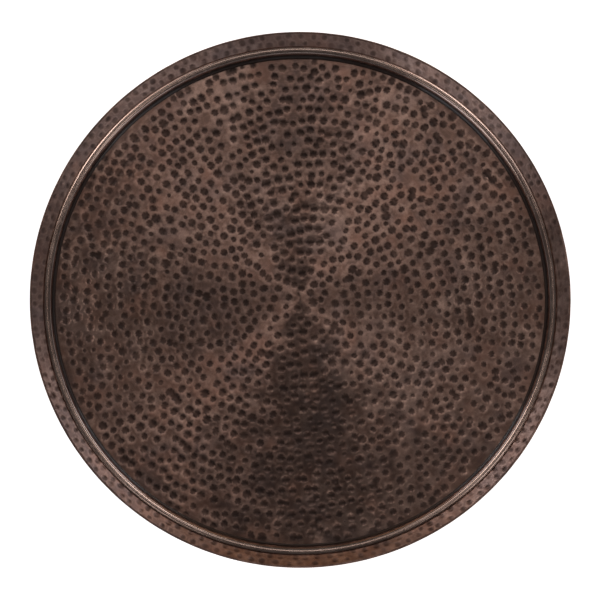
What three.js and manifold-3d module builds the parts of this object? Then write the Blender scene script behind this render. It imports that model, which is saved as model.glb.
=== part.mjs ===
// Hammered-copper lazy Susan: a round serving tray that turns on a low swivel base.
//
// Frame: millimetres, +Z up. The origin is on the surface the feet stand on, on the turning axis.
// From the top down: copper pan with a flared rim, bead moulding in the corner of the pan, wooden
// support board, upper swivel plate, ball cage, lower swivel plate, wooden base, rubber feet.
//
// Every piece is one closed mesh. Neighbours that touch on the real object keep a gap of FIT.

import * as THREE from 'three';
import { mergeVertices } from 'three/addons/utils/BufferGeometryUtils.js';
import Module from 'manifold-3d';

const wasm = await Module();
wasm.setup();

// ---------------------------------------------------------------- driving dimensions (mm)

const FIT = 0.3;                  // gap between neighbouring pieces
const SEG_LARGE = 64;             // facets round the tray, board and base
const SEG_BEARING = 40;           // facets round the swivel plates
const SEG_SMALL = 12;             // facets round feet, screws and holes

// copper pan
const TRAY_R = 228.6;             // outer radius of the hemmed edge, an 18 inch tray
const SHEET = 0.9;                // copper sheet thickness
const RIM_H = 15.8;               // top of the hem above the floor of the pan
const WALL_FOOT_R = 209.4;        // where the line of the flared wall meets the floor
const HEM_RADIUS = 0.9;           // half the folded thickness of the hem
const HEM_RETURN = 5.0;           // width of the sheet folded back outside the wall
const CORNER_FILLET = 2.2;        // inside bend between floor and wall

// bead moulding in the corner of the pan
const LIP_R = 208.3;              // inner edge of the thin lip that lies on the floor
const LIP_T = 0.7;                // thickness of that lip
const BEAD_R = 215.0;             // radius of the crest of the bead
const BEAD_Z = 4.1;               // centre of the bead's arc above the floor
const BEAD_ROUND = 4.1;           // radius of the bead's arc
const BEAD_SHEET = 0.8;           // thickness of the moulding

// wooden support board under the pan
const BOARD_R = 198;
const BOARD_T = 9;
const BOARD_EDGE = 2.5;           // rounding of its lower edge

// swivel bearing
const PLATE_R = 76;
const PLATE_T = 2.4;
const PLATE_BORE = 12.35;
const BALL_CIRCLE = 56;           // radius of the ring of balls
const BALL_R = 3.175;             // quarter inch steel balls
const BALL_COUNT = 10;
const GROOVE_R = BALL_R + FIT;    // radius of the groove's arc
const GROOVE_DEPTH = 1.6;
const CAGE_IN = 49.5;
const CAGE_OUT = 62.5;
const CAGE_T = 1.2;
const UPPER_SCREW_CIRCLE = 69;
const LOWER_SCREW_CIRCLE = 36;
const ACCESS_HOLE_R = 6.5;        // hole in base and lower plate for driving the upper screws

// hollow rivet that keeps the two swivel plates together
const RIVET_OUT = 12.0;
const RIVET_IN = 9.8;
const RIVET_FLANGE_R = 17;
const RIVET_FLANGE_T = 1.2;
const RIVET_PLAY = 0.5;           // running play under the lower plate

// wooden base
const BASE_R = 140;
const BASE_T = 10;
const BASE_EDGE = 2.5;
const BASE_RECESS_R = 18.5;       // recess in its upper face for the rivet's lower flange

// feet
const FOOT_COUNT = 6;
const FOOT_CIRCLE = 121;
const FOOT_R = 9;
const FOOT_H = 4;
const FOOT_BORE = 2.0;
const FOOT_WELL_R = 4.6;
const FOOT_WELL_DEPTH = 2.2;

// screws
const WOOD_SCREW = { head: 4.0, headH: 2.0, shank: 1.7, length: 10.5 };
const PAN_SCREW = { head: 3.7, headH: 1.7, shank: 1.6, length: 8.5 };
const CROSS_W = 0.9;              // width of the cross recess
const CROSS_L = 4.0;
const CROSS_D = 1.1;

// ---------------------------------------------------------------- heights (mm), from the feet up

const Z_BASE = FOOT_H + FIT;
const Z_LOWER = Z_BASE + BASE_T + FIT;
const Z_LOWER_TOP = Z_LOWER + PLATE_T;
const Z_BALL = Z_LOWER_TOP - GROOVE_DEPTH + FIT + BALL_R;
const Z_UPPER = Z_BALL + BALL_R + FIT - GROOVE_DEPTH;
const Z_UPPER_TOP = Z_UPPER + PLATE_T;
const Z_BOARD = Z_UPPER_TOP + FIT;
const Z_BOARD_TOP = Z_BOARD + BOARD_T;
const Z_FLOOR = Z_BOARD_TOP + FIT + SHEET;      // top face of the pan's floor

// ---------------------------------------------------------------- materials

const material = (color, metalness, roughness) =>
  new THREE.MeshStandardMaterial({ color, metalness, roughness });

const copperDark = () => material(0x5a4238, 0.95, 0.42);
const copperPolished = () => material(0x7d5c4d, 0.95, 0.22);
const walnut = () => material(0x3b2517, 0.0, 0.55);
const zincSteel = () => material(0xa9abad, 0.95, 0.35);
const ballSteel = () => material(0xcfd2d4, 1.0, 0.12);
const nylon = () => material(0xd9d6cc, 0.0, 0.5);
const rubber = () => material(0x1b1b1c, 0.0, 0.85);

// ---------------------------------------------------------------- helpers

const v2 = (x, y) => new THREE.Vector2(x, y);

// Arc in the radius-height plane, from angle a0 to a1 in degrees, in n steps.
function arc(r, z, radius, a0, a1, n) {
  const points = [];
  for (let i = 0; i <= n; i++) {
    const a = THREE.MathUtils.degToRad(a0 + ((a1 - a0) * i) / n);
    points.push(v2(r + radius * Math.cos(a), z + radius * Math.sin(a)));
  }
  return points;
}

// Lathe about +Z. The profile is listed as (radius, height), anticlockwise seen with the axis on
// the left, so that the faces point outwards.
function lathe(points, segments) {
  const geometry = new THREE.LatheGeometry(points, segments);
  geometry.rotateX(Math.PI / 2);
  return geometry;
}

function ringProfile(points) {
  return [...points, points[0].clone()];
}

function toSolid(geometry) {
  const bare = new THREE.BufferGeometry();
  bare.setAttribute('position', geometry.getAttribute('position').clone());
  if (geometry.index) bare.setIndex(geometry.index.clone());
  const merged = mergeVertices(bare, 1e-4);
  const position = merged.getAttribute('position').array;
  const index = merged.index.array;
  const kept = [];
  for (let i = 0; i < index.length; i += 3) {
    const [a, b, c] = [index[i], index[i + 1], index[i + 2]];
    if (a !== b && b !== c && c !== a) kept.push(a, b, c);
  }
  return new wasm.Manifold(new wasm.Mesh({
    numProp: 3,
    vertProperties: new Float32Array(position),
    triVerts: new Uint32Array(kept),
  }));
}

function toGeometry(solid) {
  const mesh = solid.getMesh();
  const geometry = new THREE.BufferGeometry();
  geometry.setAttribute('position', new THREE.BufferAttribute(new Float32Array(mesh.vertProperties), 3));
  geometry.setIndex(new THREE.BufferAttribute(new Uint32Array(mesh.triVerts), 1));
  geometry.computeVertexNormals();
  return geometry;
}

// Cut every tool out of the geometry, one after another.
function cut(geometry, tools) {
  let solid = toSolid(geometry);
  for (const tool of tools) solid = solid.subtract(toSolid(tool));
  return toGeometry(solid);
}

// Upright cylinder from z0 to z1 at (x, y).
function rod(x, y, radius, z0, z1, segments = SEG_SMALL) {
  const geometry = new THREE.CylinderGeometry(radius, radius, z1 - z0, segments);
  geometry.rotateX(Math.PI / 2);
  geometry.translate(x, y, (z0 + z1) / 2);
  return geometry;
}

// Upright cone frustum at (x, y): radius r0 at z0, r1 at z1.
function cone(x, y, r0, r1, z0, z1, segments = SEG_SMALL) {
  const geometry = new THREE.CylinderGeometry(r1, r0, z1 - z0, segments);
  geometry.rotateX(Math.PI / 2);
  geometry.translate(x, y, (z0 + z1) / 2);
  return geometry;
}

function onCircle(radius, degrees) {
  const a = THREE.MathUtils.degToRad(degrees);
  return [radius * Math.cos(a), radius * Math.sin(a)];
}

const tray = new THREE.Group();
tray.name = 'tray';
const cage = new THREE.Group();
cage.name = 'ball_cage';
const base = new THREE.Group();
base.name = 'base';

function add(group, name, geometry, mat) {
  const mesh = new THREE.Mesh(geometry, mat);
  mesh.name = name;
  group.add(mesh);
  return mesh;
}

// ---------------------------------------------------------------- copper pan

// The wall's inner face runs from the floor to a tangent point on the hem.
const hemR = TRAY_R - HEM_RADIUS;
const hemZ = RIM_H - HEM_RADIUS;

// Direction of the wall, solved so that the line from the foot touches the hem's circle.
const toHem = v2(hemR - WALL_FOOT_R, hemZ);
const wallAngle = Math.atan2(toHem.y, toHem.x) + Math.asin(HEM_RADIUS / toHem.length());
const along = v2(Math.cos(wallAngle), Math.sin(wallAngle));
const outward = v2(along.y, -along.x);

const onWall = (z, offset = 0) => {
  const t = z / along.y;
  return v2(WALL_FOOT_R + along.x * t + outward.x * offset, z + outward.y * offset);
};

// Inside bend, tangent to the floor and to the wall's inner face.
const bendSetback = CORNER_FILLET * Math.tan(wallAngle / 2);
const bendCentre = v2(WALL_FOOT_R - bendSetback, CORNER_FILLET);
const wallDegrees = THREE.MathUtils.radToDeg(wallAngle);

function panProfile() {
  const inner = [
    v2(0, 0),
    v2(LIP_R - 20, 0),
    ...arc(bendCentre.x, bendCentre.y, CORNER_FILLET, -90, -90 + wallDegrees, 3),
  ];
  const hem = arc(hemR, hemZ, HEM_RADIUS, 90 + wallDegrees, wallDegrees - 90, 5);
  const hemOuter = hem[hem.length - 1];
  const returnEnd = v2(hemOuter.x - along.x * HEM_RETURN, hemOuter.y - along.y * HEM_RETURN);
  const stepIn = v2(returnEnd.x - outward.x * (2 * HEM_RADIUS - SHEET), returnEnd.y - outward.y * (2 * HEM_RADIUS - SHEET));
  const outer = [
    ...arc(bendCentre.x, bendCentre.y, CORNER_FILLET + SHEET, -90 + wallDegrees, -90, 3),
    v2(LIP_R - 20, -SHEET),
    v2(0, -SHEET),
  ];
  return [...inner, ...hem, returnEnd, stepIn, ...outer];
}

// The lists run down from the floor's centre, out and back underneath; the lathe wants the reverse.
const lift = (points, z) => points.map((p) => v2(p.x, p.y + z));

add(tray, 'copper_pan', lathe(lift(panProfile().reverse(), Z_FLOOR), SEG_LARGE), copperDark());

// ---------------------------------------------------------------- bead moulding

// Angle at which an arc about the bead's centre meets the line FIT inside the wall.
function meetsWall(radius) {
  let a = 90;
  const gap = () => {
    const t = THREE.MathUtils.degToRad(a);
    const point = v2(BEAD_R + radius * Math.cos(t), BEAD_Z + radius * Math.sin(t));
    return -((point.x - WALL_FOOT_R) * outward.x + point.y * outward.y) - FIT;
  };
  while (a > 0 && gap() > 0) a -= 0.25;
  return a + 0.25;
}

function beadProfile() {
  // The lip lies on the floor, follows the bend up FIT clear of it, and turns up into the bead.
  const inRound = BEAD_ROUND - BEAD_SHEET;
  const wallIn = BEAD_R - BEAD_ROUND;
  const clearOfWall = (r, extra = 0) => v2(r, (r - WALL_FOOT_R) * Math.tan(wallAngle) + (FIT + extra) / along.x);
  return [
    v2(LIP_R, FIT),
    v2(LIP_R - 0.12, FIT + LIP_T * 0.55),
    v2(LIP_R + 0.35, FIT + LIP_T),
    v2(bendCentre.x + 0.55, FIT + LIP_T + 0.04),
    clearOfWall(WALL_FOOT_R + 0.35, LIP_T),
    clearOfWall(wallIn - 0.55, LIP_T),
    v2(wallIn - 0.15, 2.9),
    ...arc(BEAD_R, BEAD_Z, BEAD_ROUND, 180, meetsWall(BEAD_ROUND), 7),
    ...arc(BEAD_R, BEAD_Z, inRound, meetsWall(inRound), 180, 4),
    clearOfWall(wallIn + BEAD_SHEET, 0.15),
    clearOfWall(wallIn, 0.02),
    ...arc(bendCentre.x, bendCentre.y, CORNER_FILLET - FIT, -90 + wallDegrees, -90, 3),
  ];
}

add(tray, 'bead_moulding', lathe(lift(ringProfile(beadProfile().reverse()), Z_FLOOR), SEG_LARGE), copperPolished());

// ---------------------------------------------------------------- support board

const upperScrewSpots = [45, 135, 225, 315].map((d) => onCircle(UPPER_SCREW_CIRCLE, d));
const lowerScrewSpots = [0, 90, 180, 270].map((d) => onCircle(LOWER_SCREW_CIRCLE, d));
const footSpots = Array.from({ length: FOOT_COUNT }, (_, i) => onCircle(FOOT_CIRCLE, 30 + (360 / FOOT_COUNT) * i));
const accessSpot = onCircle(UPPER_SCREW_CIRCLE, 0);

const boardProfile = [
  v2(0, Z_BOARD),
  ...arc(BOARD_R - BOARD_EDGE, Z_BOARD + BOARD_EDGE, BOARD_EDGE, -90, 0, 4),
  v2(BOARD_R, Z_BOARD_TOP - 0.8),
  v2(BOARD_R - 0.8, Z_BOARD_TOP),
  v2(0, Z_BOARD_TOP),
];

const pilot = WOOD_SCREW.shank + FIT;
add(tray, 'support_board', cut(lathe(boardProfile, SEG_LARGE), [
  rod(0, 0, RIVET_FLANGE_R + 1, Z_BOARD - 1, Z_UPPER_TOP + FIT + RIVET_FLANGE_T + FIT, 32),
  ...upperScrewSpots.map(([x, y]) => rod(x, y, pilot, Z_BOARD - 1, Z_UPPER + WOOD_SCREW.length + FIT, 12)),
]), walnut());

// ---------------------------------------------------------------- swivel plates

// Plate with a ball groove in its upper face, its back at z = 0.
function plateProfile() {
  const rise = GROOVE_R - GROOVE_DEPTH;
  const half = Math.sqrt(GROOVE_R * GROOVE_R - rise * rise);
  const open = THREE.MathUtils.radToDeg(Math.atan2(-rise, half));
  return ringProfile([
    v2(PLATE_BORE, 0),
    v2(PLATE_R, 0),
    v2(PLATE_R, PLATE_T),
    ...arc(BALL_CIRCLE, PLATE_T + rise, GROOVE_R, open, -180 - open, 6),
    v2(PLATE_BORE, PLATE_T),
  ]);
}

function plate(screwSpots, extra) {
  const tools = [];
  for (const [x, y] of screwSpots) {
    tools.push(rod(x, y, pilot, -1, PLATE_T + 1, 12));
    tools.push(cone(x, y, pilot, WOOD_SCREW.head + 2 * FIT + 0.05, PLATE_T - WOOD_SCREW.headH - FIT, PLATE_T + 0.1, SEG_SMALL));
  }
  return cut(lathe(plateProfile(), SEG_BEARING), [...tools, ...extra]);
}

add(base, 'lower_race', plate(lowerScrewSpots, [
  rod(accessSpot[0], accessSpot[1], ACCESS_HOLE_R, -1, PLATE_T + 1, 20),
]), zincSteel()).position.set(0, 0, Z_LOWER);

const upperRace = add(tray, 'upper_race', plate(upperScrewSpots.map(([x, y]) => [x, -y]), []), zincSteel());
upperRace.rotation.set(Math.PI, 0, 0);
upperRace.position.set(0, 0, Z_UPPER_TOP);

// ---------------------------------------------------------------- hollow rivet

const rivetProfile = ringProfile([
  v2(RIVET_IN, Z_LOWER - RIVET_PLAY - RIVET_FLANGE_T),
  v2(RIVET_FLANGE_R, Z_LOWER - RIVET_PLAY - RIVET_FLANGE_T),
  v2(RIVET_FLANGE_R, Z_LOWER - RIVET_PLAY),
  v2(RIVET_OUT, Z_LOWER - RIVET_PLAY),
  v2(RIVET_OUT, Z_UPPER_TOP + FIT),
  v2(RIVET_FLANGE_R, Z_UPPER_TOP + FIT),
  v2(RIVET_FLANGE_R, Z_UPPER_TOP + FIT + RIVET_FLANGE_T),
  v2(RIVET_IN, Z_UPPER_TOP + FIT + RIVET_FLANGE_T),
]);
add(tray, 'hollow_rivet', lathe(rivetProfile, 24), zincSteel());

// ---------------------------------------------------------------- ball cage

const ballSpots = Array.from({ length: BALL_COUNT }, (_, i) => onCircle(BALL_CIRCLE, (360 / BALL_COUNT) * i));

const cageProfile = ringProfile([
  v2(CAGE_IN, Z_BALL - CAGE_T / 2),
  v2(CAGE_OUT, Z_BALL - CAGE_T / 2),
  v2(CAGE_OUT, Z_BALL + CAGE_T / 2),
  v2(CAGE_IN, Z_BALL + CAGE_T / 2),
]);
add(cage, 'ball_retainer', cut(lathe(cageProfile, SEG_BEARING),
  ballSpots.map(([x, y]) => rod(x, y, BALL_R + 0.4, Z_BALL - 2, Z_BALL + 2, SEG_SMALL))), nylon());

ballSpots.forEach(([x, y], i) => {
  const geometry = new THREE.SphereGeometry(BALL_R, 10, 7);
  geometry.rotateX(Math.PI / 2);
  add(cage, `ball_${i + 1}`, geometry, ballSteel()).position.set(x, y, Z_BALL);
});

// ---------------------------------------------------------------- wooden base

const baseProfile = [
  v2(0, Z_BASE),
  v2(BASE_R - 0.8, Z_BASE),
  v2(BASE_R, Z_BASE + 0.8),
  ...arc(BASE_R - BASE_EDGE, Z_BASE + BASE_T - BASE_EDGE, BASE_EDGE, 0, 90, 4),
  v2(0, Z_BASE + BASE_T),
];
const footPilot = PAN_SCREW.shank + FIT;
const footScrewZ = FOOT_WELL_DEPTH - PAN_SCREW.headH - FIT;     // underside of the screw head
add(base, 'base_disc', cut(lathe(baseProfile, SEG_LARGE), [
  rod(0, 0, BASE_RECESS_R, Z_LOWER - RIVET_PLAY - RIVET_FLANGE_T - FIT, Z_LOWER, 32),
  rod(accessSpot[0], accessSpot[1], ACCESS_HOLE_R + 0.5, Z_BASE - 1, Z_BASE + BASE_T + 1, 20),
  ...lowerScrewSpots.map(([x, y]) => rod(x, y, pilot, Z_LOWER_TOP - WOOD_SCREW.length - FIT, Z_LOWER, 12)),
  ...footSpots.map(([x, y]) => rod(x, y, footPilot, Z_BASE - 1, footScrewZ + PAN_SCREW.headH + PAN_SCREW.length + FIT, 12)),
]), walnut());

// ---------------------------------------------------------------- feet

const footProfile = ringProfile([
  v2(FOOT_WELL_R, 0),
  v2(FOOT_R - 1.2, 0),
  v2(FOOT_R - 0.5, 0.5),
  v2(FOOT_R, FOOT_H - 0.4),
  v2(FOOT_R - 0.4, FOOT_H),
  v2(FOOT_BORE, FOOT_H),
  v2(FOOT_BORE, FOOT_WELL_DEPTH),
  v2(FOOT_WELL_R, FOOT_WELL_DEPTH),
]);
footSpots.forEach(([x, y], i) => {
  add(base, `foot_${i + 1}`, lathe(footProfile, 14), rubber()).position.set(x, y, 0);
});

// ---------------------------------------------------------------- screws

// Countersunk screw, head face at z = 0, pointing down.
function woodScrew() {
  const { head, headH, shank, length } = WOOD_SCREW;
  const body = lathe([
    v2(0, -length),
    v2(shank * 0.55, -length + 1.6),
    v2(shank, -length + 3.2),
    v2(shank, -headH),
    v2(head, -0.25),
    v2(head, 0),
    v2(0, 0),
  ], 10);
  return cut(body, crossRecess(0));
}

// Pan-head screw, head under z = 0 to headH below it, pointing up.
function panScrew() {
  const { head, headH, shank, length } = PAN_SCREW;
  const body = lathe([
    v2(0, -headH),
    v2(head * 0.72, -headH),
    v2(head * 0.94, -headH + 0.45),
    v2(head, -headH + 0.95),
    v2(head, 0),
    v2(shank, 0),
    v2(shank, length - 3),
    v2(shank * 0.5, length - 1.2),
    v2(0, length),
  ], 10);
  return cut(body, crossRecess(-headH));
}

// Two crossed slots cut from a face at height z: down from z = 0, or up from a lower face.
function crossRecess(z) {
  const depth = CROSS_D;
  const middle = z === 0 ? -depth / 2 + 0.5 : z + depth / 2 - 0.5;
  const one = new THREE.BoxGeometry(CROSS_L, CROSS_W, depth + 1);
  const two = new THREE.BoxGeometry(CROSS_W, CROSS_L, depth + 1);
  one.translate(0, 0, middle);
  two.translate(0, 0, middle);
  return [one, two];
}

lowerScrewSpots.forEach(([x, y], i) => {
  add(base, `lower_screw_${i + 1}`, woodScrew(), zincSteel()).position.set(x, y, Z_LOWER_TOP);
});

upperScrewSpots.forEach(([x, y], i) => {
  const screw = add(tray, `upper_screw_${i + 1}`, woodScrew(), zincSteel());
  screw.rotation.set(Math.PI, 0, 0);
  screw.position.set(x, y, Z_UPPER);
});

footSpots.forEach(([x, y], i) => {
  add(base, `foot_screw_${i + 1}`, panScrew(), zincSteel()).position.set(x, y, footScrewZ + PAN_SCREW.headH);
});

// ---------------------------------------------------------------- assembly

const lazySusan = new THREE.Group();
lazySusan.name = 'lazy_susan';
lazySusan.add(base, cage, tray);

export default lazySusan;
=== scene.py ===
import math

import bmesh
import bpy
import numpy as np
from mathutils import Matrix, Vector
from mathutils.geometry import delaunay_2d_cdt


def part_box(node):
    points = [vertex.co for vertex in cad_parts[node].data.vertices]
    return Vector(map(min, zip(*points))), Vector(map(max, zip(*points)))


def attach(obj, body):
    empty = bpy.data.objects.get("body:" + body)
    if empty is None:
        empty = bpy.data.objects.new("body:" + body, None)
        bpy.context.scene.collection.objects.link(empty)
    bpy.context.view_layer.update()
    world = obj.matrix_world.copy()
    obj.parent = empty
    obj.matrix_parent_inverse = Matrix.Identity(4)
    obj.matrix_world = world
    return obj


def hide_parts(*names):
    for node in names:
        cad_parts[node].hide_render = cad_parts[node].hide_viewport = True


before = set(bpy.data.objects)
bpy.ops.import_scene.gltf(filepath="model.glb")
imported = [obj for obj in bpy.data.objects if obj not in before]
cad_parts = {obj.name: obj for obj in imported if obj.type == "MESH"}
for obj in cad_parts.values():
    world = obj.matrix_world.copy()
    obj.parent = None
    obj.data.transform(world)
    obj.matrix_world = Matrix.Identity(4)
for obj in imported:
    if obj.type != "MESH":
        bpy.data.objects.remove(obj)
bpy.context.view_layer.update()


# ------------------------------------------------------------------ dimensions (mm), as the frame has them

FIT = 0.3
TRAY_R = 228.6
SHEET = 0.9
RIM_H = 15.8
WALL_FOOT_R = 209.4
HEM_RADIUS = 0.9
HEM_RETURN = 5.0
CORNER_FILLET = 2.2
LIP_R = 208.3
LIP_T = 0.7
BEAD_R = 215.0
BEAD_Z = 4.1
BEAD_ROUND = 4.1
BEAD_SHEET = 0.8
BOARD_R = 198.0
BOARD_T = 9.0
BOARD_EDGE = 2.5
PLATE_R = 76.0
PLATE_T = 2.4
PLATE_BORE = 12.35
BALL_CIRCLE = 56.0
BALL_R = 3.175
BALL_COUNT = 10
GROOVE_R = BALL_R + FIT
GROOVE_DEPTH = 1.6
CAGE_IN = 49.5
CAGE_OUT = 62.5
CAGE_T = 1.2
UPPER_SCREW_CIRCLE = 69.0
LOWER_SCREW_CIRCLE = 36.0
ACCESS_HOLE_R = 6.5
RIVET_OUT = 12.0
RIVET_IN = 9.8
RIVET_FLANGE_R = 17.0
RIVET_FLANGE_T = 1.2
RIVET_PLAY = 0.5
BASE_R = 140.0
BASE_T = 10.0
BASE_EDGE = 2.5
BASE_RECESS_R = 18.5
FOOT_COUNT = 6
FOOT_CIRCLE = 121.0
FOOT_R = 9.0
FOOT_H = 4.0
FOOT_BORE = 2.0
FOOT_WELL_R = 4.6
FOOT_WELL_DEPTH = 2.2
WOOD_HEAD, WOOD_HEAD_H, WOOD_SHANK, WOOD_LENGTH = 4.0, 2.0, 1.7, 10.5
PAN_HEAD, PAN_HEAD_H, PAN_SHANK, PAN_LENGTH = 3.7, 1.7, 1.6, 8.5

Z_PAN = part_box("copper_pan")[0][2] * 1000
Z_FLOOR = Z_PAN + SHEET
Z_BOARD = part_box("support_board")[0][2] * 1000
Z_BOARD_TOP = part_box("support_board")[1][2] * 1000
Z_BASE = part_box("base_disc")[0][2] * 1000
Z_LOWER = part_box("lower_race")[0][2] * 1000
Z_LOWER_TOP = Z_LOWER + PLATE_T
Z_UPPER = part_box("upper_race")[0][2] * 1000
Z_UPPER_TOP = Z_UPPER + PLATE_T
Z_BALL = (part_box("ball_1")[0][2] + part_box("ball_1")[1][2]) * 500

rng = np.random.default_rng(4217)
MM = 0.001


# ------------------------------------------------------------------ mesh helpers

def new_piece(name, verts, faces, materials=(), smooth=True, sharp=None):
    """Object from points in mm."""
    me = bpy.data.meshes.new(name)
    v = (np.asarray(verts, float) * MM).tolist()
    f = faces.tolist() if isinstance(faces, np.ndarray) else faces
    me.from_pydata(v, [], f)
    me.validate()
    ob = bpy.data.objects.new(name, me)
    bpy.context.scene.collection.objects.link(ob)
    for m in materials:
        me.materials.append(m)
    finish_shading(ob, smooth, sharp)
    return ob


def finish_shading(ob, smooth=True, sharp=None):
    me = ob.data
    me.polygons.foreach_set("use_smooth", [smooth] * len(me.polygons))
    if smooth and sharp is not None:
        me.set_sharp_from_angle(angle=math.radians(sharp))
    me.update()


def outward(ob):
    """Turn every face outwards."""
    bm = bmesh.new()
    bm.from_mesh(ob.data)
    bmesh.ops.recalc_face_normals(bm, faces=bm.faces)
    bm.to_mesh(ob.data)
    bm.free()
    ob.data.update()


def arc(r, z, radius, a0, a1, n):
    return [(r + radius * math.cos(math.radians(a0 + (a1 - a0) * i / n)),
             z + radius * math.sin(math.radians(a0 + (a1 - a0) * i / n))) for i in range(n + 1)]


def revolve(profile, segs, closed=True):
    """Points and faces of a profile (radius, height) turned about Z. A closed profile is a ring;
    otherwise both ends lie on the axis."""
    pr = [tuple(map(float, p)) for p in profile]
    verts, rows = [], []
    ang = np.arange(segs) * 2 * math.pi / segs
    cs, sn = np.cos(ang), np.sin(ang)
    for r, z in pr:
        if r < 1e-6:
            rows.append([len(verts)])
            verts.append((0.0, 0.0, z))
        else:
            rows.append(list(range(len(verts), len(verts) + segs)))
            verts.extend(zip((r * cs).tolist(), (r * sn).tolist(), [z] * segs))
    faces = []
    pairs = list(zip(rows, rows[1:]))
    if closed:
        pairs.append((rows[-1], rows[0]))
    for a, b in pairs:
        if len(a) == 1 and len(b) == 1:
            continue
        for j in range(segs):
            k = (j + 1) % segs
            if len(a) == 1:
                faces.append((a[0], b[k], b[j]))
            elif len(b) == 1:
                faces.append((a[j], a[k], b[0]))
            else:
                faces.append((a[j], a[k], b[k], b[j]))
    return verts, faces


def merged(parts):
    verts, faces = [], []
    for v, f in parts:
        n = len(verts)
        verts.extend(v)
        faces.extend([tuple(i + n for i in q) for q in f])
    return verts, faces


def rod(x, y, radius, z0, z1, segs=32):
    v, f = revolve([(0, z0), (radius, z0), (radius, z1), (0, z1)], segs, closed=False)
    return [(a + x, b + y, c) for a, b, c in v], f


def frustum(x, y, r0, r1, z0, z1, segs=32):
    v, f = revolve([(0, z0), (r0, z0), (r1, z1), (0, z1)], segs, closed=False)
    return [(a + x, b + y, c) for a, b, c in v], f


def cut(ob, tools):
    """Cut a list of tools (points, faces) out of an object, one after another."""
    made = []
    for i, t in enumerate(tools):
        c = new_piece("cutter_%d" % i, t[0], t[1], smooth=False)
        outward(c)
        m = ob.modifiers.new("cut_%d" % i, "BOOLEAN")
        m.operation = "DIFFERENCE"
        m.solver = "EXACT"
        m.object = c
        made.append(c)
    dg = bpy.context.evaluated_depsgraph_get()
    me = bpy.data.meshes.new_from_object(ob.evaluated_get(dg))
    ob.modifiers.clear()
    old = ob.data
    ob.data = me
    bpy.data.meshes.remove(old)
    for c in made:
        d = c.data
        bpy.data.objects.remove(c)
        bpy.data.meshes.remove(d)


def on_circle(radius, degrees):
    a = math.radians(degrees)
    return radius * math.cos(a), radius * math.sin(a)


def smoothstep(a, b, x):
    t = np.clip((x - a) / (b - a), 0, 1)
    return t * t * (3 - 2 * t)


# ------------------------------------------------------------------ material helpers

class Nodes:
    def __init__(self, name):
        self.mat = bpy.data.materials.new(name)
        self.mat.use_nodes = True
        self.tree = self.mat.node_tree
        self.tree.nodes.clear()
        self.out = self.tree.nodes.new("ShaderNodeOutputMaterial")
        self.bsdf = self.tree.nodes.new("ShaderNodeBsdfPrincipled")
        self.tree.links.new(self.bsdf.outputs[0], self.out.inputs[0])

    def link(self, a, b):
        self.tree.links.new(a, b)

    def node(self, kind, **props):
        n = self.tree.nodes.new(kind)
        for k, v in props.items():
            setattr(n, k, v)
        return n

    def put(self, socket, value):
        if hasattr(value, "links"):
            self.link(value, socket)
        elif value is not None:
            socket.default_value = value

    def coord(self):
        return self.node("ShaderNodeTexCoord").outputs["Object"]

    def attribute(self, name):
        return self.node("ShaderNodeAttribute", attribute_name=name).outputs["Fac"]

    def math(self, op, a, b=None, c=None, clamp=False):
        n = self.node("ShaderNodeMath", operation=op, use_clamp=clamp)
        self.put(n.inputs[0], a)
        if b is not None:
            self.put(n.inputs[1], b)
        if c is not None:
            self.put(n.inputs[2], c)
        return n.outputs[0]

    def scaled(self, vector, scale):
        n = self.node("ShaderNodeVectorMath", operation="MULTIPLY")
        self.put(n.inputs[0], vector)
        n.inputs[1].default_value = scale
        return n.outputs[0]

    def noise(self, vector, scale, detail=2.0, rough=0.5, distortion=0.0):
        n = self.node("ShaderNodeTexNoise")
        self.put(n.inputs["Vector"], vector)
        n.inputs["Scale"].default_value = scale
        n.inputs["Detail"].default_value = detail
        n.inputs["Roughness"].default_value = rough
        n.inputs["Distortion"].default_value = distortion
        return n.outputs["Fac"]

    def ramp(self, value, stops):
        n = self.node("ShaderNodeValToRGB")
        r = n.color_ramp
        while len(r.elements) > 1:
            r.elements.remove(r.elements[-1])
        r.elements[0].position, r.elements[0].color = stops[0][0], (*stops[0][1], 1)
        for p, c in stops[1:]:
            e = r.elements.new(p)
            e.color = (*c, 1)
        self.put(n.inputs[0], value)
        return n.outputs[0]

    def span(self, value, a, b, lo, hi):
        n = self.node("ShaderNodeMapRange")
        n.clamp = True
        self.put(n.inputs[0], value)
        for i, x in enumerate((a, b, lo, hi)):
            self.put(n.inputs[i + 1], x)
        return n.outputs[0]

    def mix(self, fac, a, b, blend="MIX"):
        n = self.node("ShaderNodeMix", data_type="RGBA", blend_type=blend)
        self.put(n.inputs[0], fac)
        self.put(n.inputs[6], (*a, 1) if isinstance(a, tuple) else a)
        self.put(n.inputs[7], (*b, 1) if isinstance(b, tuple) else b)
        return n.outputs[2]

    def bump(self, height, strength, distance, normal=None):
        n = self.node("ShaderNodeBump")
        n.inputs["Strength"].default_value = strength
        n.inputs["Distance"].default_value = distance
        self.put(n.inputs["Height"], height)
        if normal is not None:
            self.put(n.inputs["Normal"], normal)
        return n.outputs[0]

    def set(self, **values):
        for k, v in values.items():
            self.put(self.bsdf.inputs[k.replace("_", " ")], (*v, 1) if isinstance(v, tuple) and len(v) == 3 else v)
        return self.mat


def polar(n, around, across, up=0.0):
    """Coordinates that run round the axis and across it, for turned or brushed metal."""
    sep = n.node("ShaderNodeSeparateXYZ")
    n.link(n.coord(), sep.inputs[0])
    x, y, z = sep.outputs
    r = n.math("SQRT", n.math("ADD", n.math("MULTIPLY", x, x), n.math("MULTIPLY", y, y)))
    a = n.math("ARCTAN2", y, x)
    comb = n.node("ShaderNodeCombineXYZ")
    n.link(n.math("MULTIPLY", n.math("COSINE", a), around), comb.inputs[0])
    n.link(n.math("MULTIPLY", n.math("SINE", a), around), comb.inputs[1])
    n.link(n.math("ADD", n.math("MULTIPLY", r, across), n.math("MULTIPLY", z, up)), comb.inputs[2])
    return comb.outputs[0]


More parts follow.
